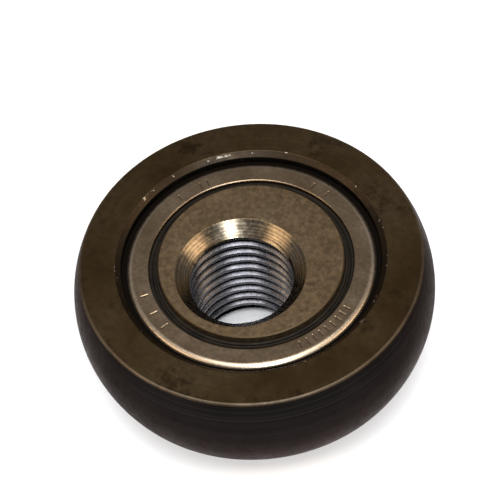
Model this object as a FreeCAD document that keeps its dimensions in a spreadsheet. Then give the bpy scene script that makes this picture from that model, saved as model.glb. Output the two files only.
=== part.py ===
import FreeCAD, Part
import math
import os
import Sketcher

# A cam follower: a single-row ball bearing whose thick outer ring carries a crowned tread, and whose
# inner ring has an eccentric threaded bore instead of a shaft hole. Turning the inner ring on its stud
# moves the roller towards or away from its track.
#
# Frame: +Z along the spin axis. The origin is on the spin axis, at the inner ring's lower face, which
# is the face that is clamped against the machine. The threaded bore is off centre towards -Y.

DIMENSIONS = {
    # outer ring
    "tread_diameter": 56.0,         # at the top of the crown
    "face_diameter": 52.5,          # of the flat side faces, where the crown ends
    "outer_width": 16.0,
    "rim_radius": 0.5,              # between the tread and each side face
    "outer_land_radius": 19.9,      # shoulder each side of the raceway
    "recess_radius": 20.0,          # the wall round each shield
    "recess_chamfer": 0.8,
    "shield_groove_radius": 20.7,
    "ball_plane_height": 15.0,      # the middle of the outer ring, above the clamped face
    # inner ring
    "inner_diameter": 28.6,
    "inner_length": 22.5,
    "inner_edge_chamfer": 0.4,
    "bore_offset": 2.75,
    "thread_minor_diameter": 15.835,    # the drilled size of an M18 x 2 thread
    "countersink_diameter": 20.1,
    "bore_lower_chamfer": 1.1,
    # balls and cage
    "ball_count": 8,
    "ball_diameter": 7.938,
    "ball_circle_diameter": 34.2,
    "race_clearance": 0.02,         # between each ball and each raceway
    "race_curve_radius": 4.13,
    "cage_thickness": 0.7,
    "cage_inner_radius": 15.6,
    "cage_outer_radius": 18.6,
    "cage_pocket_clearance": 0.1,
    "rivet_radius": 0.5,
    "rivet_head_radius": 0.95,
    "rivet_head_height": 0.45,
    # shields, seals and backing caps: heights are measured outwards from the ball plane
    "cap_bottom": 5.05,
    "cap_top": 5.45,
    "cap_inner_radius": 15.1,
    "flange_top": 6.0,
    "flange_radius": 20.65,
    "shield_underside": 6.17,
    "shield_top": 6.77,
    "shield_inner_radius": 15.7,
    "shield_shoulder_radius": 19.15,
    "shield_wall": 0.6,
    "shield_shoulder_round": 0.65,
    "shield_edge_round": 0.25,
    "seal_outer_radius": 18.5,
    "seal_body_top": 6.1,
    "lip_gap": 0.05,                # between the rubber lip and the inner ring
    "lip_width": 0.45,
    "lip_top": 6.35,
}

doc = FreeCAD.newDocument("cam_follower")
sheet = doc.addObject("Spreadsheet::Sheet", "Dims")
for row, (alias, size) in enumerate(DIMENSIONS.items(), start=1):
    sheet.set(f"A{row}", alias)
    sheet.set(f"B{row}", str(size))
    sheet.setAlias(f"B{row}", alias)
doc.recompute()


# ---------------------------------------------------------------- sketching and revolving

def size_of(expression):
    """The number that a sheet expression stands for."""
    return float(sheet.evalExpression(expression))


def new_body(label):
    body = doc.addObject("PartDesign::Body", label)
    body.Label = label
    return body


def origin_part(body, role):
    """One of the body's own origin planes or axes."""
    return next(part for part in body.Origin.OriginFeatures if part.Role == role)


def new_sketch(body, role, name):
    sketch = body.newObject("Sketcher::SketchObject", f"{body.Name}_{name}")
    sketch.AttachmentSupport = (origin_part(body, role), [""])
    sketch.MapMode = "FlatFace"
    return sketch


def bind(sketch, constraint, expression):
    """Add a dimension to the sketch and tie it to the sheet."""
    index = sketch.addConstraint(constraint)
    sketch.setExpression(f"Constraints[{index}]", expression)


def place_point(sketch, edge, end, across, up):
    """Fix one end of an edge at (across, up) from the sketch's origin."""
    if across == "0":
        sketch.addConstraint(Sketcher.Constraint("PointOnObject", edge, end, -2))
    else:
        bind(sketch, Sketcher.Constraint("DistanceX", -1, 1, edge, end, size_of(across)), across)
    if up == "0":
        sketch.addConstraint(Sketcher.Constraint("PointOnObject", edge, end, -1))
    else:
        bind(sketch, Sketcher.Constraint("DistanceY", -1, 1, edge, end, size_of(up)), up)


def arc_between(start, end, radius, left):
    """The short arc from start to end, bulging to the left or the right of that direction.

    A sketch keeps its arcs anticlockwise, so one that bulges left is drawn from end to start.
    """
    chord = end - start
    half = chord.Length / 2
    rise = radius - math.sqrt(radius ** 2 - half ** 2)
    sideways = FreeCAD.Vector(-chord.y, chord.x, 0).normalize()
    if left:
        return Part.Arc(end, start + chord * 0.5 + sideways * rise, start)
    return Part.Arc(start, start + chord * 0.5 - sideways * rise, end)


def draw_outline(sketch, corners, arcs=None):
    """A closed outline through corners, given as (across, up) expressions.

    arcs maps the number of a corner to the (radius, bulges left) of the arc that leaves it.
    """
    arcs = arcs or {}
    points = [FreeCAD.Vector(size_of(across), size_of(up), 0) for across, up in corners]
    starts = []
    ends = []
    for number, start in enumerate(points):
        end = points[(number + 1) % len(points)]
        if number in arcs:
            radius, left = arcs[number]
            edge = sketch.addGeometry(arc_between(start, end, size_of(radius), left))
            forward = not left
            bind(sketch, Sketcher.Constraint("Radius", edge, size_of(radius)), radius)
        else:
            edge = sketch.addGeometry(Part.LineSegment(start, end))
            forward = True
        starts.append((edge, 1 if forward else 2))
        ends.append((edge, 2 if forward else 1))
    for number, corner in enumerate(corners):
        sketch.addConstraint(Sketcher.Constraint("Coincident", *ends[number - 1], *starts[number]))
        place_point(sketch, *starts[number], *corner)


def revolve(body, corners, arcs=None):
    """A full turn about Z of an outline drawn as (radius, height)."""
    sketch = new_sketch(body, "XZ_Plane", "outline")
    draw_outline(sketch, corners, arcs)
    turned = body.newObject("PartDesign::Revolution", f"{body.Name}_turned")
    turned.Profile = sketch
    turned.ReferenceAxis = (sketch, ["V_Axis"])
    turned.Angle = 360
    doc.recompute()
    return turned


SAME_PLACE = 1e-4   # mm, well under any real difference between two edges


def circle_edges(shape, radius, height, centre_y=0.0):
    """Names of the full circles of a shape with this radius and height."""
    names = []
    for number, edge in enumerate(shape.Edges, start=1):
        curve = edge.Curve
        if not isinstance(curve, Part.Circle):
            continue
        misses = (curve.Radius - radius, curve.Center.z - height, curve.Center.y - centre_y)
        if all(abs(miss) < SAME_PLACE for miss in misses):
            names.append(f"Edge{number}")
    return names


def dress(body, kind, name, circles, expression):
    """Fillet or chamfer the circles, given as (radius, height) expressions, at a bound size."""
    base = body.Tip
    names = []
    for radius, height in circles:
        names += circle_edges(base.Shape, size_of(radius), size_of(height))
    if len(names) != len(circles):
        raise RuntimeError(f"{body.Label} {name}: {len(names)} of {len(circles)} edges found")
    feature = body.newObject(f"PartDesign::{kind}", f"{body.Name}_{name}")
    feature.Base = (base, names)
    feature.setExpression("Radius" if kind == "Fillet" else "Size", expression)
    doc.recompute()
    return feature


def polar(body, feature, name):
    """Repeat a feature once for each ball."""
    pattern = body.newObject("PartDesign::PolarPattern", f"{body.Name}_{name}")
    pattern.Originals = [feature]
    pattern.Axis = (origin_part(body, "Z_Axis"), [""])
    pattern.Angle = 360
    pattern.setExpression("Occurrences", "Dims.ball_count")
    body.Tip = pattern
    doc.recompute()
    return pattern


# ---------------------------------------------------------------- heights that several pieces share

BALL_PLANE = "Dims.ball_plane_height"
BALL_CIRCLE = "Dims.ball_circle_diameter / 2"
BALL_RADIUS = "Dims.ball_diameter / 2"
INNER_RADIUS = "Dims.inner_diameter / 2"
SIDES = {"upper": "+", "lower": "-"}


def out_from_balls(side, distance):
    """A height measured outwards from the ball plane, on the upper or the lower side."""
    return f"{BALL_PLANE} {SIDES[side]} ({distance})"


def race_half_width(bottom_to_land):
    """Half the width of a raceway where it meets its land, from how deep it is cut."""
    across = f"(Dims.race_curve_radius - ({bottom_to_land}))"
    return f"sqrt(Dims.race_curve_radius * Dims.race_curve_radius - {across} * {across})"


# ---------------------------------------------------------------- outer ring

def make_outer_ring():
    """Forged and ground ring: crowned tread, flat faces, one raceway, a shield groove each side."""
    body = new_body("outer_ring")
    face_radius = "Dims.face_diameter / 2"
    half_width = "Dims.outer_width / 2"
    race_depth = f"({BALL_CIRCLE} + {BALL_RADIUS} + Dims.race_clearance - Dims.outer_land_radius)"
    race = race_half_width(race_depth)
    rise = "(Dims.tread_diameter / 2 - Dims.face_diameter / 2)"
    crown = f"({half_width} * {half_width} + {rise} * {rise}) / (2 * {rise})"

    def side_corners(side):
        return [
            ("Dims.outer_land_radius", out_from_balls(side, race)),
            ("Dims.outer_land_radius", out_from_balls(side, "Dims.cap_bottom")),
            ("Dims.shield_groove_radius", out_from_balls(side, "Dims.cap_bottom")),
            ("Dims.shield_groove_radius", out_from_balls(side, "Dims.flange_top")),
            ("Dims.recess_radius", out_from_balls(side, "Dims.flange_top")),
            ("Dims.recess_radius", out_from_balls(side, half_width)),
            (face_radius, out_from_balls(side, half_width)),
        ]

    corners = side_corners("upper") + side_corners("lower")[::-1]
    upper_rim = 6
    lower_land = len(corners) - 1
    arcs = {upper_rim: (crown, True), lower_land: ("Dims.race_curve_radius", False)}
    revolve(body, corners, arcs)
    rims = [(face_radius, out_from_balls(side, half_width)) for side in SIDES]
    dress(body, "Fillet", "rims", rims, "Dims.rim_radius")
    mouths = [("Dims.recess_radius", out_from_balls(side, half_width)) for side in SIDES]
    dress(body, "Chamfer", "recess_mouths", mouths, "Dims.recess_chamfer")
    return body


# ---------------------------------------------------------------- inner ring

def make_inner_ring():
    """Ground ring, longer than the outer ring, with an eccentric countersunk bore for a thread.

    The bore is the drilled hole, whose wall becomes the crests of the M18 x 2 thread.
    """
    body = new_body("inner_ring")
    race_depth = f"({INNER_RADIUS} - ({BALL_CIRCLE} - {BALL_RADIUS} - Dims.race_clearance))"
    race = race_half_width(race_depth)
    corners = [
        ("0", "0"),
        (INNER_RADIUS, "0"),
        (INNER_RADIUS, out_from_balls("lower", race)),
        (INNER_RADIUS, out_from_balls("upper", race)),
        (INNER_RADIUS, "Dims.inner_length"),
        ("0", "Dims.inner_length"),
    ]
    lower_race_edge = 2
    revolve(body, corners, {lower_race_edge: ("Dims.race_curve_radius", True)})
    ends = [(INNER_RADIUS, "0"), (INNER_RADIUS, "Dims.inner_length")]
    dress(body, "Chamfer", "end_chamfers", ends, "Dims.inner_edge_chamfer")
    before = body.Tip.Shape.Volume

    drill = new_sketch(body, "XY_Plane", "drill")
    minor_radius = "Dims.thread_minor_diameter / 2"
    offset = size_of("Dims.bore_offset")
    centre = FreeCAD.Vector(0, -offset, 0)
    circle = drill.addGeometry(Part.Circle(centre, FreeCAD.Vector(0, 0, 1), size_of(minor_radius)))
    drill.addConstraint(Sketcher.Constraint("PointOnObject", circle, 3, -2))
    bind(drill, Sketcher.Constraint("DistanceY", circle, 3, -1, 1, offset), "Dims.bore_offset")
    bind(drill, Sketcher.Constraint("Radius", circle, size_of(minor_radius)), minor_radius)
    bore = body.newObject("PartDesign::Pocket", "inner_ring_bore")
    bore.Profile = drill
    bore.Type = "ThroughAll"
    bore.Reversed = True
    doc.recompute()
    if body.Tip.Shape.Volume >= before:
        raise RuntimeError("the bore missed the inner ring")

    mouths = [
        ("inner_ring_countersink", "Dims.inner_length",
         "(Dims.countersink_diameter - Dims.thread_minor_diameter) / 2"),
        ("inner_ring_lower_mouth", "0", "Dims.bore_lower_chamfer"),
    ]
    for name, height, depth in mouths:
        base = body.Tip
        edge = circle_edges(base.Shape, size_of(minor_radius), size_of(height), -offset)
        mouth = body.newObject("PartDesign::Chamfer", name)
        mouth.Base = (base, edge)
        mouth.setExpression("Size", depth)
        doc.recompute()
    return body


# ---------------------------------------------------------------- shields, seals and backing caps

def make_shield(side):
    """Pressed steel ring: a flat face, a rounded shoulder, and a flange held in the outer ring."""
    body = new_body(f"shield_{side}")
    wall_inside = "Dims.shield_shoulder_radius - Dims.shield_wall"
    corners = [
        ("Dims.shield_inner_radius", out_from_balls(side, "Dims.shield_top")),
        ("Dims.shield_shoulder_radius", out_from_balls(side, "Dims.shield_top")),
        ("Dims.shield_shoulder_radius", out_from_balls(side, "Dims.flange_top")),
        ("Dims.flange_radius", out_from_balls(side, "Dims.flange_top")),
        ("Dims.flange_radius", out_from_balls(side, "Dims.cap_top")),
        (wall_inside, out_from_balls(side, "Dims.cap_top")),
        (wall_inside, out_from_balls(side, "Dims.shield_underside")),
        ("Dims.shield_inner_radius", out_from_balls(side, "Dims.shield_underside")),
    ]
    revolve(body, corners)
    dress(body, "Fillet", "shoulder", [corners[1]], "Dims.shield_shoulder_round")
    dress(body, "Fillet", "inner_edge", [corners[0]], "Dims.shield_edge_round")
    return body


def make_seal(side):
    """Rubber disc behind the shield, with a thicker lip that runs just off the inner ring."""
    body = new_body(f"seal_{side}")
    lip_inside = f"{INNER_RADIUS} + Dims.lip_gap"
    lip_outside = f"{lip_inside} + Dims.lip_width"
    corners = [
        (lip_inside, out_from_balls(side, "Dims.cap_top")),
        ("Dims.seal_outer_radius", out_from_balls(side, "Dims.cap_top")),
        ("Dims.seal_outer_radius", out_from_balls(side, "Dims.seal_body_top")),
        (lip_outside, out_from_balls(side, "Dims.seal_body_top")),
        (lip_outside, out_from_balls(side, "Dims.lip_top")),
        (lip_inside, out_from_balls(side, "Dims.lip_top")),
    ]
    revolve(body, corners)
    return body


def make_backing_cap(side):
    """Thin steel washer that closes the ball space and carries the rubber from behind."""
    body = new_body(f"backing_cap_{side}")
    corners = [
        ("Dims.cap_inner_radius", out_from_balls(side, "Dims.cap_bottom")),
        ("Dims.flange_radius", out_from_balls(side, "Dims.cap_bottom")),
        ("Dims.flange_radius", out_from_balls(side, "Dims.cap_top")),
        ("Dims.cap_inner_radius", out_from_balls(side, "Dims.cap_top")),
    ]
    revolve(body, corners)
    return body


# ---------------------------------------------------------------- balls, cage and rivets

def put_on_ball_circle(piece, spacings):
    """Put a piece on the ball circle, this many ball spacings round from +X."""
    turn = f"(360 deg * {spacings} / Dims.ball_count)"
    piece.setExpression("Placement.Base.x", f"{BALL_CIRCLE} * cos({turn})")
    piece.setExpression("Placement.Base.y", f"{BALL_CIRCLE} * sin({turn})")


def make_sphere(name, radius, spacings):
    sphere = doc.addObject("Part::Sphere", name)
    sphere.setExpression("Radius", radius)
    put_on_ball_circle(sphere, spacings)
    sphere.setExpression("Placement.Base.z", BALL_PLANE)
    return sphere


def make_ball(number):
    """One of the balls, at its place on the ball circle."""
    ball = make_sphere(f"ball_{number}", BALL_RADIUS, number - 1)
    ball.Label = f"ball_{number}"
    return ball


def make_cage_half(side):
    """Pressed steel ribbon: flat between the balls, and bent over each of them as a pocket."""
    pocket_radius = f"({BALL_RADIUS} + Dims.cage_pocket_clearance)"
    shell_radius = f"({pocket_radius} + Dims.cage_thickness)"
    places = range(DIMENSIONS["ball_count"])

    def cylinder(name, radius, bottom, height):
        piece = doc.addObject("Part::Cylinder", f"cage_{side}_{name}")
        piece.setExpression("Radius", radius)
        piece.setExpression("Height", height)
        piece.setExpression("Placement.Base.z", bottom)
        return piece

    def ring_of_spheres(name, radius):
        return [make_sphere(f"cage_{side}_{name}_{number + 1}", radius, number) for number in places]

    def combined(kind, name, **inputs):
        piece = doc.addObject(kind, f"cage_{side}_{name}")
        for key, value in inputs.items():
            setattr(piece, key, value)
        return piece

    sheet_bottom = BALL_PLANE if side == "upper" else f"{BALL_PLANE} - Dims.cage_thickness"
    space_bottom = BALL_PLANE if side == "upper" else f"{BALL_PLANE} - {shell_radius}"
    flat = cylinder("flat", "Dims.cage_outer_radius", sheet_bottom, "Dims.cage_thickness")
    domes = ring_of_spheres("dome", shell_radius)
    pressed = combined("Part::MultiFuse", "pressed", Shapes=[flat] + domes)
    band = cylinder("band", "Dims.cage_outer_radius", space_bottom, shell_radius)
    hollow = cylinder("hollow", "Dims.cage_inner_radius", space_bottom, shell_radius)
    strip = combined("Part::Cut", "strip", Base=band, Tool=hollow)
    trimmed = combined("Part::Common", "trimmed", Base=pressed, Tool=strip)

    cutters = ring_of_spheres("pocket", pocket_radius)
    for number in places:
        name = f"rivet_hole_{number + 1}"
        hole = cylinder(name, "Dims.rivet_radius", sheet_bottom, "Dims.cage_thickness")
        put_on_ball_circle(hole, number + 0.5)      # halfway between two balls
        cutters.append(hole)
    cuts = combined("Part::MultiFuse", "cuts", Shapes=cutters)
    half = combined("Part::Cut", "half", Base=trimmed, Tool=cuts)
    half.Label = f"cage_{side}"
    return half


def make_rivets():
    """Eight rivets, each a shank with a flat round head on either side of the cage."""
    body = new_body("cage_rivets")
    body.AllowCompound = True
    sketch = new_sketch(body, "XZ_Plane", "outline")
    under_head = "Dims.cage_thickness"
    head_top = "Dims.cage_thickness + Dims.rivet_head_height"
    shank = f"{BALL_CIRCLE} + Dims.rivet_radius"
    head = f"{BALL_CIRCLE} + Dims.rivet_head_radius"
    corners = [
        (BALL_CIRCLE, out_from_balls("lower", head_top)),
        (head, out_from_balls("lower", head_top)),
        (head, out_from_balls("lower", under_head)),
        (shank, out_from_balls("lower", under_head)),
        (shank, out_from_balls("upper", under_head)),
        (head, out_from_balls("upper", under_head)),
        (head, out_from_balls("upper", head_top)),
        (BALL_CIRCLE, out_from_balls("upper", head_top)),
    ]
    draw_outline(sketch, corners)
    axis = len(corners) - 1
    turned = body.newObject("PartDesign::Revolution", "cage_rivets_turned")
    turned.Profile = sketch
    turned.ReferenceAxis = (sketch, [f"Edge{axis + 1}"])
    turned.Angle = 360
    doc.recompute()
    polar(body, turned, "ring")
    body.setExpression("Placement.Rotation.Angle", "180 deg / Dims.ball_count")
    doc.recompute()
    return body


# ---------------------------------------------------------------- build, check and write

pieces = [make_outer_ring(), make_inner_ring()]
for side in SIDES:
    pieces.append(make_shield(side))
    pieces.append(make_seal(side))
    pieces.append(make_backing_cap(side))
    pieces.append(make_cage_half(side))
pieces.append(make_rivets())
pieces += [make_ball(number) for number in range(1, DIMENSIONS["ball_count"] + 1)]
doc.recompute()

for item in doc.Objects:
    if "Invalid" in item.State or "Error" in item.State:
        raise RuntimeError(f"{item.Label} failed: {item.State}")
for piece in pieces:
    if piece.Shape.isNull() or not piece.Shape.isValid():
        raise RuntimeError(f"{piece.Label} has no valid shape")

os.makedirs("parts", exist_ok=True)
for piece in pieces:
    piece.Shape.exportStep(f"parts/{piece.Label}.step")
    print(piece.Label, len(piece.Shape.Solids), "solid(s)", round(piece.Shape.Volume, 1), "mm3")
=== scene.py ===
import math

import bpy
from mathutils import Matrix, Vector


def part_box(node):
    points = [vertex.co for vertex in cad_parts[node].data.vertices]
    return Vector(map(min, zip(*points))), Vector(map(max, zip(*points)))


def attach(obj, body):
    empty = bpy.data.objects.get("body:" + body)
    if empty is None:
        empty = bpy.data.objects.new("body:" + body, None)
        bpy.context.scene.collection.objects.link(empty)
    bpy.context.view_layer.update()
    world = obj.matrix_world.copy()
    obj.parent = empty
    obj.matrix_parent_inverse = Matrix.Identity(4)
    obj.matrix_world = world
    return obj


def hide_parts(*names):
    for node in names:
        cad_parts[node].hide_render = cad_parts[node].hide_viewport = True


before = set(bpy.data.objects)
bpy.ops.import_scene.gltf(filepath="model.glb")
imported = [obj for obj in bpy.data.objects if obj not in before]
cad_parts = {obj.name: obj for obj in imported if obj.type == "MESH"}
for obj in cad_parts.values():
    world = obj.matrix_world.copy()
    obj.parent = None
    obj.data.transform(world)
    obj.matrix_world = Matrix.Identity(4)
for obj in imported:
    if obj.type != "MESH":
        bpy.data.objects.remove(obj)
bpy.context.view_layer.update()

# ---- Outer ring ------------------------------------------------------------------------------------
# The bearing-steel ring that rolls on the cam. It is turned, hardened, ground on the crowned tread and in
# the raceway, and then blackened. A shield is snapped in at each side, with its seal behind it.

mm = 0.001
ring_low, ring_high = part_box("outer_ring")
ring_bottom = ring_low.z
ring_top = ring_high.z
ring_middle = (ring_bottom + ring_top) / 2
tread_radius = ring_high.x
face_radius = tread_radius - 1.75 * mm
rim_round = 0.34 * mm
recess_radius = 20.0 * mm
recess_chamfer = 0.8 * mm
groove_radius = 20.7 * mm
outer_land = 19.9 * mm
groove_near = 5.05 * mm         # from the middle of the ring
groove_far = 6.0 * mm
race_curve = 4.13 * mm
ball_radius = 3.969 * mm
ball_circle = 17.1 * mm
race_clearance = 0.02 * mm
round_steps = 288
tread_rows = 28
outer_race_rows = 24
small_round = 0.05 * mm
chamfer_round = 0.12 * mm
weld_distance = 0.0005 * mm

skin_dark = (0.031, 0.019, 0.0085)
skin_brown = (0.050, 0.0325, 0.0155)
skin_light = (0.072, 0.049, 0.0255)
skin_streak = (0.105, 0.076, 0.044)
skin_stain = (0.017, 0.010, 0.005)
tread_dark = (0.0040, 0.0034, 0.0034)
tread_light = (0.0075, 0.0064, 0.0064)
tread_lines = (0.020, 0.0175, 0.0170)
# Painted shade: the recess mouth's chamfer is darkened, and the recess, seal groove and raceway are painted
# near black.
chamfer_painted_shade = (0.022, 0.018, 0.015)
recess_painted_shade = (0.020, 0.0160, 0.0125)
bright_steel = (0.42, 0.37, 0.31)
grazing_tint = (0.56, 0.52, 0.51, 1)


def rounded(before, corner, after, radius, steps=4, shoulder=0.05 * mm):
    """The points of a rounded corner, with one more on each side that keeps the flats flat."""
    into = (before - corner).normalized()
    out = (after - corner).normalized()
    half = into.angle(out) / 2
    centre = corner + (into + out).normalized() * radius / math.sin(half)
    reach = radius / math.tan(half)
    first = (corner + into * reach - centre).normalized()
    last = (corner + out * reach - centre).normalized()
    arc = [centre + first.slerp(last, step / steps) * radius for step in range(steps + 1)]
    return [arc[0] + into * shoulder, *arc, arc[-1] + out * shoulder]


def outline(corners, steps=4, shoulder=0.05 * mm):
    """Profile points from (radius, height, rounding) corners. A fourth number shifts the axis."""
    points = []
    flat = [Vector(corner[:2]) for corner in corners]
    for number, (_, _, rounding, *shift) in enumerate(corners):
        made = [flat[number]]
        if rounding:
            after = flat[(number + 1) % len(flat)]
            made = rounded(flat[number - 1], flat[number], after, rounding, steps, shoulder)
        points += [(point.x, shift[0] if shift else 0.0, point.y) for point in made]
    return points


def arc_corners(centre_radius, centre_height, radius, first, last, steps):
    """Sharp corners along an arc of the profile, from one angle to another."""
    turns = [first + (last - first) * step / steps for step in range(steps + 1)]
    return [(centre_radius + radius * math.cos(turn), centre_height + radius * math.sin(turn), 0)
            for turn in turns]


def add(tree, kind, *values, **settings):
    """A node with these settings, whose enabled inputs are linked or set in order."""
    node = tree.nodes.new(kind)
    for key, value in settings.items():
        setattr(node, key, value)
    sockets = [socket for socket in node.inputs if socket.enabled]
    for socket, value in zip(sockets, values):
        if isinstance(value, bpy.types.NodeSocket):
            tree.links.new(value, socket)
        elif value is not None:
            socket.default_value = value
    return node


def sums(tree, operation, *values):
    """One step of arithmetic on sockets and numbers."""
    return add(tree, "ShaderNodeMath", *values, operation=operation).outputs[0]


def new_tree(name, inputs):
    """An empty Geometry Nodes tree with named inputs, and the sockets that carry them."""
    tree = bpy.data.node_groups.new(name, "GeometryNodeTree")
    tree.interface.new_socket("Geometry", in_out="OUTPUT", socket_type="NodeSocketGeometry")
    tree.interface.new_socket("Geometry", in_out="INPUT", socket_type="NodeSocketGeometry")
    for label, kind in inputs.items():
        tree.interface.new_socket(label, in_out="INPUT", socket_type=f"NodeSocket{kind}")
    given = tree.nodes.new("NodeGroupInput")
    return tree, given.outputs


def finish_tree(tree, geometry, material):
    """Weld, shade, realize and give the material, which every tree ends with."""
    welded = add(tree, "GeometryNodeMergeByDistance", geometry, True, weld_distance).outputs[0]
    smooth = add(tree, "GeometryNodeSetShadeSmooth", welded, True, True).outputs[0]
    real = add(tree, "GeometryNodeRealizeInstances", smooth).outputs[0]
    painted = add(tree, "GeometryNodeSetMaterial", real, True, material).outputs[0]
    result = tree.nodes.new("NodeGroupOutput")
    tree.links.new(painted, result.inputs[0])


def turned_grid(tree, profile, steps, closed):
    """A grid to wrap round Z, facing outwards: a row for each profile point, a column for each step."""
    count = add(tree, "GeometryNodeAttributeDomainSize", profile).outputs["Point Count"]
    rows = sums(tree, "ADD", count, closed)
    columns = sums(tree, "ADD", steps, 1)
    sheet = add(tree, "GeometryNodeMeshGrid", 1.0, 1.0, rows, columns).outputs[0]
    grid = add(tree, "GeometryNodeFlipFaces", sheet, True).outputs[0]
    index = tree.nodes.new("GeometryNodeInputIndex").outputs[0]
    row = sums(tree, "FLOOR", sums(tree, "DIVIDE", sums(tree, "ADD", index, 0.5), columns))
    column = sums(tree, "SUBTRACT", index, sums(tree, "MULTIPLY", row, columns))
    position = tree.nodes.new("GeometryNodeInputPosition").outputs[0]
    sample = add(tree, "GeometryNodeSampleIndex", profile, position, sums(tree, "MODULO", row, count),
                 data_type="FLOAT_VECTOR").outputs[0]
    parts = add(tree, "ShaderNodeSeparateXYZ", sample).outputs
    turn = sums(tree, "DIVIDE", sums(tree, "MODULO", column, steps), steps)
    return grid, sums(tree, "MULTIPLY", turn, math.tau), column, parts


def wrap(tree, grid, radius, angle, shift, height):
    """Put each point of a grid at (radius, angle) round an axis shifted along Y."""
    across = sums(tree, "MULTIPLY", radius, sums(tree, "COSINE", angle))
    along = sums(tree, "ADD", sums(tree, "MULTIPLY", radius, sums(tree, "SINE", angle)), shift)
    place = add(tree, "ShaderNodeCombineXYZ", across, along, height).outputs[0]
    return add(tree, "GeometryNodeSetPosition", grid, True, place).outputs[0]


def make_turned_tree():
    """Geometry Nodes that turn a profile of (radius, axis shift, height) points about Z."""
    tree, given = new_tree("turned_ring", {
        "Profile": "Object", "Steps": "Int", "Closed": "Int", "Finish": "Material"})
    profile = add(tree, "GeometryNodeObjectInfo", given["Profile"]).outputs["Geometry"]
    grid, angle, _, parts = turned_grid(tree, profile, given["Steps"], given["Closed"])
    ring = wrap(tree, grid, parts["X"], angle, parts["Y"], parts["Z"])
    finish_tree(tree, ring, given["Finish"])
    return tree


def profile_object(points):
    """Profile points (radius, axis shift, height) as a mesh that a tree can read."""
    mesh = bpy.data.meshes.new("profile")
    mesh.from_pydata(points, [], [])
    return bpy.data.objects.new("profile", mesh)


def grow(name, tree, base=None, **values):
    """Run a tree once and keep its result as a plain mesh object."""
    source = base or bpy.data.objects.new(name, bpy.data.meshes.new(name))
    if not base:
        bpy.context.scene.collection.objects.link(source)
    modifier = source.modifiers.new(tree.name, "NODES")
    modifier.node_group = tree
    for item in tree.interface.items_tree:
        if item.in_out == "INPUT" and item.name in values:
            modifier[item.identifier] = values[item.name]
    source.update_tag()
    bpy.context.view_layer.update()
    evaluated = source.evaluated_get(bpy.context.evaluated_depsgraph_get())
    mesh = bpy.data.meshes.new_from_object(evaluated)
    source.modifiers.remove(modifier)
    source.data = mesh
    mesh.name = name
    mesh.materials.clear()
    mesh.materials.append(values["Finish"])
    mesh.set_sharp_from_angle(angle=math.radians(35))
    for used in values.values():
        if isinstance(used, bpy.types.Object):
            bpy.data.objects.remove(used)
    return source


turned_ring = make_turned_tree()


def new_finish(name, colour, roughness, metallic=1.0, shine=0.5):
    """A Principled material and its shader, with the values that are even all over."""
    material = bpy.data.materials.new(name)
    material.use_nodes = True
    shader = material.node_tree.nodes["Principled BSDF"]
    shader.inputs["Base Color"].default_value = (*colour, 1)
    shader.inputs["Roughness"].default_value = roughness
    shader.inputs["Metallic"].default_value = metallic
    shader.inputs["Specular IOR Level"].default_value = shine
    return material, material.node_tree, shader


def object_place(tree, shift=(0, 0, 0)):
    """Object coordinates, moved so that a shifted axis becomes the middle of a pattern."""
    place = tree.nodes.new("ShaderNodeTexCoord").outputs["Object"]
    return add(tree, "ShaderNodeMapping", place, [-part for part in shift]).outputs[0]


def round_place(tree, place):
    """(distance from the axis, height) of a point, for patterns that a lathe or a grinder leaves."""
    parts = add(tree, "ShaderNodeSeparateXYZ", place).outputs
    flat = add(tree, "ShaderNodeCombineXYZ", parts["X"], parts["Y"], 0.0).outputs[0]
    distance = add(tree, "ShaderNodeVectorMath", flat, operation="LENGTH").outputs["Value"]
    return distance, parts["Z"]


def speckle(tree, place, scale, detail, rough):
    """Cloudy noise from 0 to 1, mostly near the middle."""
    return add(tree, "ShaderNodeTexNoise", place, scale, detail, rough).outputs[0]


def ramp(tree, value, *stops):
    """A colour ramp from (position, colour) stops."""
    node = add(tree, "ShaderNodeValToRGB", value)
    stops_made = node.color_ramp.elements
    while len(stops_made) < len(stops):
        stops_made.new(0.5)
    for made, (position, colour) in zip(stops_made, stops):
        made.position = position
        made.color = (*colour, 1) if len(colour) == 3 else colour
    return node.outputs[0]


def fit(tree, value, low, high, new_low=0.0, new_high=1.0, smooth=True):
    """Map low..high to new_low..new_high and hold it there outside. Low may be above high."""
    kind = "SMOOTHSTEP" if smooth else "LINEAR"
    return add(tree, "ShaderNodeMapRange", value, low, high, new_low, new_high,
               interpolation_type=kind).outputs[0]


def blend(tree, amount, first, second, kind="RGBA"):
    """A colour, or a number where kind is FLOAT, that goes from the first value to the second."""
    node = tree.nodes.new("ShaderNodeMix")
    node.data_type = kind
    for socket, value in zip([s for s in node.inputs if s.enabled], (amount, first, second)):
        if isinstance(value, bpy.types.NodeSocket):
            tree.links.new(value, socket)
        else:
            socket.default_value = (*value, 1) if isinstance(value, tuple) else value
    return next(s for s in node.outputs if s.enabled)


def tool_lines(tree, distance, height, spacing):
    """Fine uneven rings, as a turning or grinding tool leaves them."""
    place = add(tree, "ShaderNodeCombineXYZ", distance, height, 0.0).outputs[0]
    return speckle(tree, place, 1 / spacing, 2.0, 0.6)


def add_bump(tree, shader, height, strength, depth):
    """Fine relief in the surface, from a height between 0 and 1."""
    bump = add(tree, "ShaderNodeBump", strength, depth)
    tree.links.new(height, bump.inputs["Height"])
    tree.links.new(bump.outputs[0], shader.inputs["Normal"])


def times(tree, *values):
    """The product of several masks."""
    product = values[0]
    for value in values[1:]:
        product = sums(tree, "MULTIPLY", product, value)
    return product


def brown_skin(tree, place, blotch, lines):
    """The faces: cloudy brown, with lighter turning streaks and a few dark stains."""
    skin = ramp(tree, blotch, (0.36, skin_dark), (0.50, skin_brown), (0.66, skin_light))
    streak = times(tree, fit(tree, lines, 0.50, 0.72), fit(tree, blotch, 0.40, 0.60), 0.35)
    skin = blend(tree, streak, skin, skin_streak)
    stain = fit(tree, speckle(tree, place, 130, 6.0, 0.72), 0.53, 0.66, 0.0, 0.7)
    return blend(tree, stain, skin, skin_stain)


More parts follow.
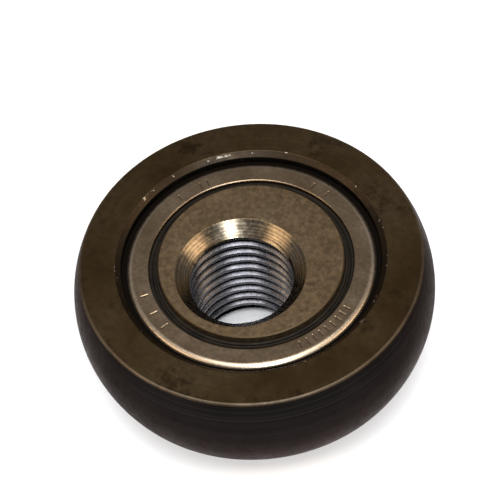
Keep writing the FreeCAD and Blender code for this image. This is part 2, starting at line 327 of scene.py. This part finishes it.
def rubbed_edges(tree, place, distance, to_face, blotch):
    """How bare the steel is: a little along the rim, and in nicks along the mouth of the recess."""
    rim = times(tree, fit(tree, distance, face_radius - rim_round, face_radius - 0.12 * mm),
                fit(tree, distance, face_radius + 0.16 * mm, face_radius + 0.02 * mm),
                fit(tree, to_face, 0.42 * mm, 0.18 * mm), fit(tree, blotch, 0.25, 0.6, 0.45, 1.0))
    mouth_radius = recess_radius + recess_chamfer
    mouth = times(tree, fit(tree, distance, mouth_radius + 0.2 * mm, mouth_radius - 0.1 * mm),
                  fit(tree, distance, mouth_radius - 0.5 * mm, mouth_radius - 0.2 * mm))
    dots = fit(tree, speckle(tree, place, 1300, 2.0, 0.5), 0.68, 0.72)
    scuffs = fit(tree, speckle(tree, place, 260, 4.0, 0.65), 0.60, 0.66, 0.0, 0.7)
    nicks = times(tree, mouth, sums(tree, "MAXIMUM", dots, scuffs))
    return sums(tree, "MAXIMUM", times(tree, rim, 0.12), nicks)


def blackened_steel():
    """Black oxide: browned by oil on the faces, black on the tread, bright where edges are rubbed, with
    painted shade in the recess.
    """
    material, tree, shader = new_finish("blackened_steel", skin_brown, 0.42, shine=0.3)
    place = object_place(tree)
    distance, height = round_place(tree, place)
    from_middle = sums(tree, "ABSOLUTE", sums(tree, "SUBTRACT", height, ring_middle))
    to_face = sums(tree, "SUBTRACT", (ring_top - ring_bottom) / 2, from_middle)
    blotch = speckle(tree, place, 60, 5.0, 0.62)
    grain = speckle(tree, place, 900, 3.0, 0.6)
    lines = tool_lines(tree, distance, height, 0.16 * mm)
    skin = brown_skin(tree, place, blotch, lines)
    tread = ramp(tree, blotch, (0.35, tread_dark), (0.70, tread_light))
    tread = blend(tree, fit(tree, lines, 0.48, 0.66, 0.0, 0.6), tread, tread_lines)
    on_tread = times(tree, fit(tree, distance, face_radius - 0.1 * mm, face_radius + 0.15 * mm),
                     fit(tree, to_face, 0.2 * mm, 0.5 * mm))
    colour = blend(tree, on_tread, skin, tread)
    # Painted shade: darker from the mouth chamfer inwards, and near black on the recess wall, seal groove
    # and raceway.
    mouth_radius = recess_radius + recess_chamfer
    chamfer = fit(tree, distance, mouth_radius + 0.02 * mm, mouth_radius - 0.06 * mm)
    colour = blend(tree, times(tree, chamfer, 0.6), colour, chamfer_painted_shade)
    recess = fit(tree, distance, recess_radius + 0.10 * mm, recess_radius + 0.02 * mm)
    colour = blend(tree, recess, colour, recess_painted_shade)
    worn = rubbed_edges(tree, place, distance, to_face, blotch)
    colour = blend(tree, worn, colour, bright_steel)
    tree.links.new(colour, shader.inputs["Base Color"])
    tree.links.new(fit(tree, on_tread, 0.0, 1.0, 1.0, 0.93), shader.inputs["Metallic"])
    shader.inputs["Specular Tint"].default_value = grazing_tint
    rough = sums(tree, "SUBTRACT", fit(tree, blotch, 0.3, 0.7, 0.54, 0.40), times(tree, on_tread, 0.02))
    rough = sums(tree, "ADD", rough, fit(tree, grain, 0.3, 0.7, -0.04, 0.05))
    tree.links.new(rough, shader.inputs["Roughness"])
    relief = sums(tree, "ADD", times(tree, lines, 0.7), times(tree, grain, 0.4))
    add_bump(tree, shader, relief, 0.35, 0.02 * mm)
    return material


def outer_ring_profile():
    """Clockwise round the section: crowned tread, face, recess, seal groove, land, raceway."""
    half = (ring_top - ring_bottom) / 2
    rise = tread_radius - face_radius
    crown = (half ** 2 + rise ** 2) / (2 * rise)
    lean = math.asin(half / crown)
    tread = arc_corners(tread_radius - crown, ring_middle, crown, -lean, lean, tread_rows)
    race_centre = ball_circle + ball_radius + race_clearance - race_curve
    open_angle = math.acos((outer_land - race_centre) / race_curve)
    race = arc_corners(race_centre, ring_middle, race_curve, open_angle, -open_angle, outer_race_rows)

    def side(sign):
        return [
            (face_radius, ring_middle + sign * half, rim_round),
            (recess_radius + recess_chamfer, ring_middle + sign * half, chamfer_round),
            (recess_radius, ring_middle + sign * (half - recess_chamfer), chamfer_round),
            (recess_radius, ring_middle + sign * groove_far, small_round),
            (groove_radius, ring_middle + sign * groove_far, small_round),
            (groove_radius, ring_middle + sign * groove_near, small_round),
            (outer_land, ring_middle + sign * groove_near, small_round),
        ]

    upper = side(1)
    lower = side(-1)[::-1]
    return outline(tread[1:-1] + upper + race + lower)


outer_ring = grow("outer_ring_ground", turned_ring, Profile=profile_object(outer_ring_profile()),
                  Steps=round_steps, Closed=1, Finish=blackened_steel())
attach(outer_ring, "outer")
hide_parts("outer_ring")


# ---- Inner ring ------------------------------------------------------------------------------------
# The ground steel ring that stays still on its stud. Its threaded bore is off centre, so that turning
# the ring shifts the roller. It is longer than the outer ring, and its lower end stands on the machine.

inner_low, inner_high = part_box("inner_ring")
inner_bottom = inner_low.z
inner_top = inner_high.z
inner_radius = inner_high.x
end_chamfer = 0.16 * mm
bore_shift = -2.75 * mm
thread_pitch = 2.0 * mm
thread_major = 9.0 * mm
thread_minor = 7.9175 * mm
crest_width = thread_pitch / 4
root_width = thread_pitch / 8
countersink_radius = 10.05 * mm
lower_mouth_radius = thread_minor + 1.1 * mm
upper_lip = 0.35 * mm           # how much of each cone is made with the turned body
lower_lip = 0.01 * mm
thread_corner = 0.07 * mm
cone_end = inner_top - (countersink_radius - thread_minor)
groove_slope = 2.0              # how fast the groove deepens below the cone
inner_steps = 240
inner_race_rows = 20
edge_round = 0.06 * mm

ground_dark = (0.180, 0.121, 0.065)
ground_brown = (0.230, 0.157, 0.088)
ground_light = (0.275, 0.196, 0.116)
oil_stain = (0.07, 0.045, 0.022)
# Painted shade for the ring's outer edge, end chamfer and wall.
wall_painted_shade = (0.085, 0.060, 0.034)
turned_dark = (0.160, 0.124, 0.082)
turned_light = (0.245, 0.198, 0.142)
turned_line = (0.06, 0.045, 0.028)
# Thread colours: the crest's own silver, painted shade down the flanks and in the roots, and a lighter top
# turn painted as lit.
crest_silver = (0.132, 0.130, 0.142)
flank_half_shade = (0.086, 0.085, 0.094)
root_painted_shade = (0.008, 0.008, 0.010)
first_turn_lit = (0.20, 0.163, 0.115)


def make_thread_tree():
    """Geometry Nodes that wind a thread into a bore with a 45 degree cone at each end.

    The groove deepens from nothing below the upper cone, which keeps the cone whole.
    """
    tree, given = new_tree("threaded_bore", {
        "Profile": "Object", "Body": "Object", "Steps": "Int", "Pitch": "Float", "Axis Shift": "Float",
        "Top": "Float", "Top Radius": "Float", "Bottom": "Float", "Bottom Radius": "Float",
        "Crest Radius": "Float", "Thread Top": "Float", "Finish": "Material"})
    profile = add(tree, "GeometryNodeObjectInfo", given["Profile"]).outputs["Geometry"]
    grid, angle, column, parts = turned_grid(tree, profile, given["Steps"], 0)
    climb = sums(tree, "DIVIDE", sums(tree, "MULTIPLY", given["Pitch"], column), given["Steps"])
    height = sums(tree, "ADD", parts["Z"], climb)
    height = sums(tree, "MAXIMUM", sums(tree, "MINIMUM", height, given["Top"]), given["Bottom"])
    upper_cone = sums(tree, "SUBTRACT", given["Top Radius"], sums(tree, "SUBTRACT", given["Top"], height))
    lower_cone = sums(tree, "SUBTRACT", given["Bottom Radius"],
                      sums(tree, "SUBTRACT", height, given["Bottom"]))
    below = sums(tree, "MAXIMUM", sums(tree, "SUBTRACT", given["Thread Top"], height), 0.0)
    deepest = sums(tree, "MULTIPLY_ADD", below, groove_slope, given["Crest Radius"])
    thread = sums(tree, "MINIMUM", parts["X"], deepest)
    radius = sums(tree, "MAXIMUM", sums(tree, "MAXIMUM", thread, upper_cone), lower_cone)
    bore = wrap(tree, grid, radius, angle, given["Axis Shift"], height)
    body = add(tree, "GeometryNodeObjectInfo", given["Body"]).outputs["Geometry"]
    joined = tree.nodes.new("GeometryNodeJoinGeometry")
    tree.links.new(bore, joined.inputs[0])
    tree.links.new(body, joined.inputs[0])
    finish_tree(tree, joined.outputs[0], given["Finish"])
    return tree


def thread_rows():
    """The thread's section from above the bore to one pitch below it, which winding then raises."""
    corners = []
    turns = math.ceil((inner_top - inner_bottom) / thread_pitch) + 1
    for turn in range(turns + 1):
        middle = inner_top + thread_pitch * (0.5 - turn)
        corners += [
            (thread_major, middle + thread_pitch / 2 + root_width / 2, thread_corner),
            (thread_major, middle + thread_pitch / 2 - root_width / 2, thread_corner),
            (thread_minor, middle + crest_width / 2, thread_corner),
            (thread_minor, middle - crest_width / 2, thread_corner),
        ]
    flank = (thread_pitch - crest_width - root_width) / 2
    before = (thread_minor, corners[0][1] + flank, 0)
    after = (thread_major, corners[-1][1] - flank, 0)
    return outline([before] + corners + [after], steps=2, shoulder=0.02 * mm)[1:-1]


def inner_body_profile():
    """From the lower mouth out along the foot, up the wall with its raceway, and in over the face."""
    race_centre = ball_circle - ball_radius - race_clearance + race_curve
    open_angle = math.pi - math.acos((race_centre - inner_radius) / race_curve)
    race = arc_corners(race_centre, ring_middle, race_curve, 2 * math.pi - open_angle, open_angle,
                       inner_race_rows)
    return outline([
        (lower_mouth_radius - lower_lip, inner_bottom + lower_lip, 0, bore_shift),
        (lower_mouth_radius, inner_bottom, 0, bore_shift),
        (inner_radius - end_chamfer, inner_bottom, edge_round),
        (inner_radius, inner_bottom + end_chamfer, edge_round),
        *race,
        (inner_radius, inner_top - end_chamfer, edge_round),
        (inner_radius - end_chamfer, inner_top, edge_round),
        (countersink_radius, inner_top, edge_round, bore_shift),
        (countersink_radius - upper_lip, inner_top - upper_lip, 0, bore_shift),
    ])


def bare_steel():
    """Ground faces gone brown with oil, a brighter turned countersink, and a silvery cut thread, with
    painted shade on the outer edge and wall and in the thread's grooves, and a top turn painted lighter, as
    lit.
    """
    material, tree, shader = new_finish("bare_steel", ground_brown, 0.34)
    place = object_place(tree)
    distance, height = round_place(tree, place)
    bore_place = object_place(tree, (0, bore_shift, 0))
    bore_distance, _ = round_place(tree, bore_place)
    blotch = speckle(tree, place, 150, 4.0, 0.6)
    grain = speckle(tree, place, 1400, 3.0, 0.6)
    cone = sums(tree, "SUBTRACT", countersink_radius, sums(tree, "SUBTRACT", inner_top, height))
    off_cone = fit(tree, sums(tree, "SUBTRACT", bore_distance, cone), 0.03 * mm, 0.09 * mm)
    in_bore = fit(tree, bore_distance, countersink_radius + 0.05 * mm, countersink_radius - 0.05 * mm)
    in_thread = times(tree, in_bore, off_cone)
    on_cone = sums(tree, "SUBTRACT", in_bore, in_thread)
    ground = ramp(tree, blotch, (0.3, ground_dark), (0.55, ground_brown), (0.75, ground_light))
    stain = fit(tree, speckle(tree, place, 240, 6.0, 0.75), 0.57, 0.68, 0.0, 0.6)
    ground = blend(tree, stain, ground, oil_stain)
    # Painted shade: the face's outer edge, the end chamfer and the outer wall are darkened and made rougher,
    # so the chamfer catches no highlight.
    wall = fit(tree, distance, inner_radius - end_chamfer - 0.08 * mm, inner_radius - end_chamfer)
    ground = blend(tree, wall, ground, wall_painted_shade)
    turned = ramp(tree, blotch, (0.3, turned_dark), (0.7, turned_light))
    cone_lines = tool_lines(tree, bore_distance, height, 0.26 * mm)
    turned = blend(tree, fit(tree, cone_lines, 0.44, 0.60, 0.6, 0.0), turned, turned_line)
    # Painted shade: the thread darkens from the crest down the flanks to near black in the roots.
    depth = fit(tree, bore_distance, thread_minor, thread_major, smooth=False)
    cut = ramp(tree, depth, (0.0, crest_silver), (0.28, flank_half_shade), (0.50, root_painted_shade))
    # Painted light: the top turn, open to the countersink, is painted lighter in place of the root shade.
    run_out = fit(tree, height, inner_top - 2.7 * mm, inner_top - 2.1 * mm)
    cut = blend(tree, run_out, cut, first_turn_lit)
    colour = blend(tree, on_cone, ground, turned)
    colour = blend(tree, in_thread, colour, cut)
    tree.links.new(colour, shader.inputs["Base Color"])
    rough = sums(tree, "SUBTRACT", fit(tree, grain, 0.3, 0.7, 0.31, 0.46), times(tree, blotch, 0.08))
    rough = sums(tree, "SUBTRACT", rough, times(tree, in_bore, 0.09))
    rough = sums(tree, "ADD", rough, times(tree, wall, 0.25))
    tree.links.new(rough, shader.inputs["Roughness"])
    face_lines = tool_lines(tree, distance, height, 0.07 * mm)
    add_bump(tree, shader, blend(tree, in_bore, face_lines, cone_lines, "FLOAT"), 0.5, 0.02 * mm)
    return material


inner_finish = bare_steel()
inner_body = grow("inner_body", turned_ring, Profile=profile_object(inner_body_profile()),
                  Steps=inner_steps, Closed=0, Finish=inner_finish)
threaded_bore = make_thread_tree()
bore_values = {
    "Profile": profile_object(thread_rows()), "Body": inner_body, "Steps": inner_steps,
    "Pitch": thread_pitch, "Axis Shift": bore_shift, "Finish": inner_finish,
    "Top": inner_top - upper_lip, "Top Radius": countersink_radius - upper_lip,
    "Bottom": inner_bottom + lower_lip, "Bottom Radius": lower_mouth_radius - lower_lip,
    "Crest Radius": thread_minor, "Thread Top": cone_end,
}
inner_ring = grow("inner_ring_threaded", threaded_bore, **bore_values)
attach(inner_ring, "inner")
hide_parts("inner_ring")


# ---- Shields ---------------------------------------------------------------------------------------
# Two rings pressed from sheet steel, one at each side. A flange is snapped into the outer ring's groove,
# a rounded shoulder stands up from it, and the flat face has a few plain inspection punch marks.

shield_flange = 20.65 * mm
shield_shoulder = 19.15 * mm
shield_inside = 15.7 * mm
shield_wall = 0.6 * mm
cap_top = 5.45 * mm
shield_under = 6.17 * mm
shield_face = 6.77 * mm
shoulder_across = 1.0 * mm
shoulder_down = 0.66 * mm
inner_edge_round = 0.25 * mm
shield_steps = 1080
mark_middle = 17.1 * mm
mark_depth = 0.09 * mm
mark_width = 0.16 * mm
tick_half = 0.55 * mm
flange_top = groove_far - 0.01 * mm
sheet_round = 0.06 * mm
bend_round = 0.08 * mm
shoulder_rows = 12
face_rows = 26

sheet_dark = (0.180, 0.125, 0.075)
sheet_brown = (0.248, 0.178, 0.113)
sheet_light = (0.33, 0.247, 0.168)
shoulder_bright = (0.46, 0.38, 0.29)
# Painted shade for the shoulder's foot and flange down in the groove.
groove_painted_shade = (0.008, 0.0062, 0.0048)
stamped_brown = (0.06, 0.045, 0.03)


def shield_profile(sign):
    """The pressed section, with close rows on its flat face for the punch marks."""
    first = shield_shoulder - shoulder_across - sheet_round
    last = shield_inside + inner_edge_round + sheet_round
    face = [(first + (last - first) * row / face_rows, shield_face, 0) for row in range(face_rows + 1)]
    shoulder = []
    for row in range(shoulder_rows + 1):
        lean = math.pi / 2 * row / shoulder_rows
        shoulder.append((shield_shoulder - shoulder_across * (1 - math.cos(lean)),
                         shield_face - shoulder_down * (1 - math.sin(lean)), 0))
    corners = [
        (shield_flange, cap_top, sheet_round),
        (shield_flange, flange_top, chamfer_round),
        (shield_shoulder, flange_top, small_round),
        *shoulder,
        *face,
        (shield_inside, shield_face, inner_edge_round),
        (shield_inside, shield_under, bend_round),
        (shield_shoulder - shield_wall, shield_under, bend_round),
        (shield_shoulder - shield_wall, cap_top, sheet_round),
    ]
    placed = [(radius, ring_middle + sign * height, rounding) for radius, height, rounding in corners]
    return outline(placed if sign > 0 else placed[::-1], steps=3)


def stroke_depth(spot, strokes):
    """How deep the punch went at a spot on the flat face: 1 on a stroke, 0 away from all of them."""
    deepest = 0.0
    for middle, along in strokes:
        offset = spot - middle
        if offset.length > 2 * tick_half:
            continue
        reach = max(-tick_half, min(tick_half, offset.dot(along)))
        away = (offset - along * reach).length
        if away < mark_width:
            deepest = max(deepest, math.cos(away / mark_width * math.pi / 2) ** 2)
    return deepest


def punch_marks(mesh, marks, sign):
    """Press short radial strokes into the flat face, at these places round the ring in degrees."""
    face_height = ring_middle + sign * shield_face
    strokes = []
    for turn in marks:
        along = Matrix.Rotation(math.radians(turn), 2) @ Vector((1, 0))
        strokes.append((along * mark_middle, along))
    for vertex in mesh.vertices:
        if abs(vertex.co.z - face_height) < 0.001 * mm:
            vertex.co.z -= sign * mark_depth * stroke_depth(vertex.co.xy, strokes)


def pressed_steel():
    """Satin sheet steel under a brown oil film, with painted shade on the shoulder's foot and flange down in
    the groove.
    """
    material, tree, shader = new_finish("pressed_steel", sheet_brown, 0.3)
    place = object_place(tree)
    distance, height = round_place(tree, place)
    from_middle = sums(tree, "ABSOLUTE", sums(tree, "SUBTRACT", height, ring_middle))
    blotch = speckle(tree, place, 170, 4.0, 0.6)
    grain = speckle(tree, place, 1600, 3.0, 0.6)
    colour = ramp(tree, blotch, (0.3, sheet_dark), (0.55, sheet_brown), (0.75, sheet_light))
    flat_edge = shield_shoulder - shoulder_across
    shoulder = fit(tree, distance, flat_edge, flat_edge + 0.4 * mm)
    colour = blend(tree, times(tree, shoulder, 0.6), colour, shoulder_bright)
    # Painted shade: the shoulder's foot and the flange, down in the groove between the shield and the outer
    # ring, are painted near black and made rough.
    groove = times(tree, fit(tree, distance, shield_shoulder - 0.3 * mm, shield_shoulder - 0.1 * mm),
                   fit(tree, from_middle, shield_face - 0.38 * mm, shield_face - 0.62 * mm))
    colour = blend(tree, groove, colour, groove_painted_shade)
    stamped = fit(tree, from_middle, shield_face - 0.01 * mm, shield_face - 0.05 * mm)
    on_flat = fit(tree, distance, flat_edge, flat_edge - 0.1 * mm)
    colour = blend(tree, times(tree, stamped, on_flat, 0.6), colour, stamped_brown)
    tree.links.new(colour, shader.inputs["Base Color"])
    rough = sums(tree, "ADD", fit(tree, grain, 0.3, 0.7, 0.26, 0.34), times(tree, shoulder, 0.06))
    tree.links.new(sums(tree, "ADD", rough, times(tree, groove, 0.4)), shader.inputs["Roughness"])
    lines = tool_lines(tree, distance, height, 0.09 * mm)
    relief = sums(tree, "ADD", times(tree, lines, 0.4), times(tree, grain, 0.5))
    add_bump(tree, shader, relief, 0.22, 0.012 * mm)
    return material


shield_finish = pressed_steel()
upper_marks = [2 - 4 * number for number in range(9)]
upper_marks += [-105, -115, -127, 165, 152, 148, 90, 81]
lower_marks = [-90 - 6 * number for number in range(4)]
for side, sign, marks in (("upper", 1, upper_marks), ("lower", -1, lower_marks)):
    shield = grow(f"shield_{side}_pressed", turned_ring, Profile=profile_object(shield_profile(sign)),
                  Steps=shield_steps, Closed=1, Finish=shield_finish)
    punch_marks(shield.data, marks, sign)
    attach(shield, "outer")
    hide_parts(f"shield_{side}")


# ---- Seals -----------------------------------------------------------------------------------------
# A disc of black nitrile rubber is moulded to lie behind each shield, clamped against a steel cap. Its lip
# is a raised bead that wipes the inner ring, and a shallow groove beside the bead lets it bend.

lip_inside = inner_radius + 0.05 * mm
lip_outside = lip_inside + 0.45 * mm
lip_top = 6.35 * mm
seal_top = 6.1 * mm
seal_outside = 18.5 * mm
bend_groove = 0.25 * mm
rubber_round = 0.1 * mm
seal_steps = 240
rubber_dark = (0.0060, 0.0044, 0.0030)
rubber_greasy = (0.0150, 0.0110, 0.0070)


def seal_profile(sign):
    """The rubber's section: outer wall, flat body with a bending groove, and the raised lip."""
    corners = [
        (seal_outside, cap_top, small_round),
        (seal_outside, seal_top, small_round),
        (lip_outside + 0.55 * mm, seal_top, rubber_round),
        (lip_outside + 0.30 * mm, seal_top - bend_groove, rubber_round),
        (lip_outside, seal_top - bend_groove, rubber_round),
        (lip_outside, lip_top, 0.18 * mm),
        (lip_inside, lip_top, 0.12 * mm),
        (lip_inside, cap_top, small_round),
    ]
    placed = [(radius, ring_middle + sign * height, rounding) for radius, height, rounding in corners]
    return outline(placed if sign > 0 else placed[::-1])


def seal_rubber():
    """Matt black rubber with a fine moulded grain and a trace of grease."""
    material, tree, shader = new_finish("nitrile_rubber", rubber_dark, 0.6, metallic=0.0, shine=0.12)
    place = object_place(tree)
    grease = speckle(tree, place, 300, 3.0, 0.6)
    grain = speckle(tree, place, 2600, 2.0, 0.5)
    colour = ramp(tree, grease, (0.35, rubber_dark), (0.7, rubber_greasy))
    tree.links.new(colour, shader.inputs["Base Color"])
    tree.links.new(fit(tree, grease, 0.35, 0.65, 0.62, 0.40), shader.inputs["Roughness"])
    add_bump(tree, shader, grain, 0.4, 0.02 * mm)
    return material


rubber = seal_rubber()
for side, sign in (("upper", 1), ("lower", -1)):
    seal = grow(f"seal_{side}_rubber", turned_ring, Profile=profile_object(seal_profile(sign)),
                Steps=seal_steps, Closed=1, Finish=rubber)
    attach(seal, "outer")
    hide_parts(f"seal_{side}")


# ---- Ball space: backing caps, cage, rivets and balls ------------------------------------------------
# Thin steel washers close the ball space. Between them eight polished balls run in a pressed ribbon cage,
# whose two halves are held together by a headed rivet in each gap between the balls.

def inside_steel(name, low, high, roughness, pattern):
    """Oiled steel that varies between two colours, with a fine grain."""
    material, tree, shader = new_finish(name, low, roughness)
    place = object_place(tree)
    cloud = speckle(tree, place, pattern, 4.0, 0.6)
    grain = speckle(tree, place, pattern * 8, 3.0, 0.6)
    tree.links.new(ramp(tree, cloud, (0.3, low), (0.7, high)), shader.inputs["Base Color"])
    tree.links.new(fit(tree, grain, 0.3, 0.7, roughness * 0.8, roughness * 1.25), shader.inputs["Roughness"])
    add_bump(tree, shader, grain, 0.25, 0.01 * mm)
    return material


inside_finishes = {
    "cage_rivets": inside_steel("rivet_wire", (0.44, 0.42, 0.39), (0.60, 0.57, 0.52), 0.28, 420),
    "backing_cap": inside_steel("washer_steel", (0.42, 0.40, 0.37), (0.55, 0.53, 0.50), 0.35, 200),
    "cage": inside_steel("cage_strip", (0.50, 0.47, 0.42), (0.62, 0.59, 0.54), 0.32, 240),
    "ball": inside_steel("polished_ball", (0.70, 0.70, 0.71), (0.82, 0.82, 0.83), 0.08, 180),
}
for node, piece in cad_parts.items():
    fitting = [finish for start, finish in inside_finishes.items() if node.startswith(start)]
    if fitting:
        piece.data.materials.clear()
        piece.data.materials.append(fitting[0])


# ---- Studio ----------------------------------------------------------------------------------------
# A pale floor that the follower stands on, soft lights, and a camera looking down at it.

floor_mesh = bpy.data.meshes.new("floor")
floor_half = 3.0
floor_mesh.from_pydata([(-floor_half, -floor_half, 0), (floor_half, -floor_half, 0),
                        (floor_half, floor_half, 0), (-floor_half, floor_half, 0)], [], [(0, 1, 2, 3)])
floor = bpy.data.objects.new("floor", floor_mesh)
bpy.context.scene.collection.objects.link(floor)
paper_white = (0.82, 0.83, 0.85)
paper, _, _ = new_finish("pale_paper", paper_white, 0.9, metallic=0.0)
floor_mesh.materials.append(paper)

view_turn = math.radians(40.5)
view_height = math.radians(54.1)
view_roll = math.radians(-7.4)
view_distance = 0.315
aim = Vector((0, 0, ring_top))
toward = Vector((math.sin(view_turn) * math.cos(view_height),
                 -math.cos(view_turn) * math.cos(view_height), math.sin(view_height)))
level = Vector((math.cos(view_turn), math.sin(view_turn), 0))
upright = toward.cross(level)
right = level * math.cos(view_roll) + upright * math.sin(view_roll)
above = upright * math.cos(view_roll) - level * math.sin(view_roll)
camera_data = bpy.data.cameras.new("camera")
camera_data.sensor_width = 36
camera_data.lens = 149
camera_data.shift_x = -0.0009
camera_data.shift_y = 0.0145
camera_data.clip_start = 0.01
camera = bpy.data.objects.new("camera", camera_data)
camera.matrix_world = Matrix.Translation(aim + toward * view_distance) @ Matrix(
    (right, above, toward)).transposed().to_4x4()
bpy.context.scene.collection.objects.link(camera)
bpy.context.scene.camera = camera


def soft_light(name, turn, height, distance, size, power, colour=(1, 1, 1)):
    """A square softbox that faces the follower, at a turn and height in degrees."""
    data = bpy.data.lights.new(name, "AREA")
    data.size = size
    data.energy = power
    data.color = colour
    light = bpy.data.objects.new(name, data)
    turn = math.radians(turn)
    height = math.radians(height)
    way = Vector((math.sin(turn) * math.cos(height), -math.cos(turn) * math.cos(height), math.sin(height)))
    light.location = aim + way * distance
    light.rotation_euler = way.to_track_quat("Z", "Y").to_euler()
    bpy.context.scene.collection.objects.link(light)


cool = (0.84, 0.92, 1.0)
warm = (1.0, 0.76, 0.50)
soft_light("overhead", turn=40, height=80, distance=0.9, size=0.50, power=8.0)
soft_light("front_key", turn=48, height=42, distance=0.8, size=0.15, power=4.6, colour=cool)
soft_light("left_lamp", turn=-34, height=36, distance=0.8, size=0.42, power=2.8, colour=warm)
soft_light("right_lamp", turn=114, height=36, distance=0.8, size=0.42, power=2.8, colour=warm)
world = bpy.data.worlds.new("studio")
bpy.context.scene.world = world
world.use_nodes = True
background = world.node_tree.nodes["Background"]
background.inputs["Color"].default_value = (0.95, 0.96, 1.0, 1)
background.inputs["Strength"].default_value = 0.35
bpy.context.scene.view_settings.view_transform = "Standard"
